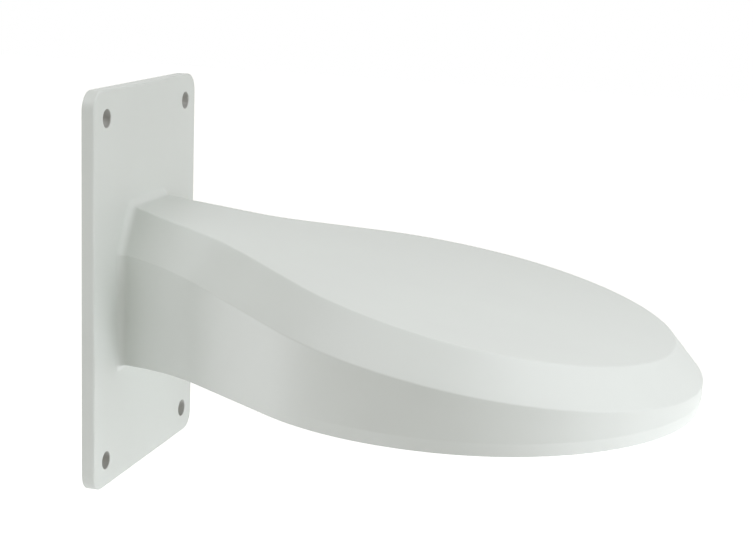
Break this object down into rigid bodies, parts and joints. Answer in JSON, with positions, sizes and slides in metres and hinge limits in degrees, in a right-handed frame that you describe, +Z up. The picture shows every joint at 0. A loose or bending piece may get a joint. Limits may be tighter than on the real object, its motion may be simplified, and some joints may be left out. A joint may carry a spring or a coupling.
{
  "type": "camera wall bracket",
  "caption": "Cast wall bracket for a dome camera: a rectangular wall plate, a hollow arm with bevelled top edges, and a round, flat-topped head that is open underneath.",
  "frame": {"origin": "centre of the wall plate's back face, on the wall", "axes": "+X out of the wall along the arm, +Y across the plate, +Z up"},
  "size_m": [0.2205, 0.169, 0.15],
  "materials": {
    "powder_coat": "matt off-white powder coat"
  },
  "bodies": {
    "root": {"bracket_casting": "powder_coat"}
  },
  "joints": []
}
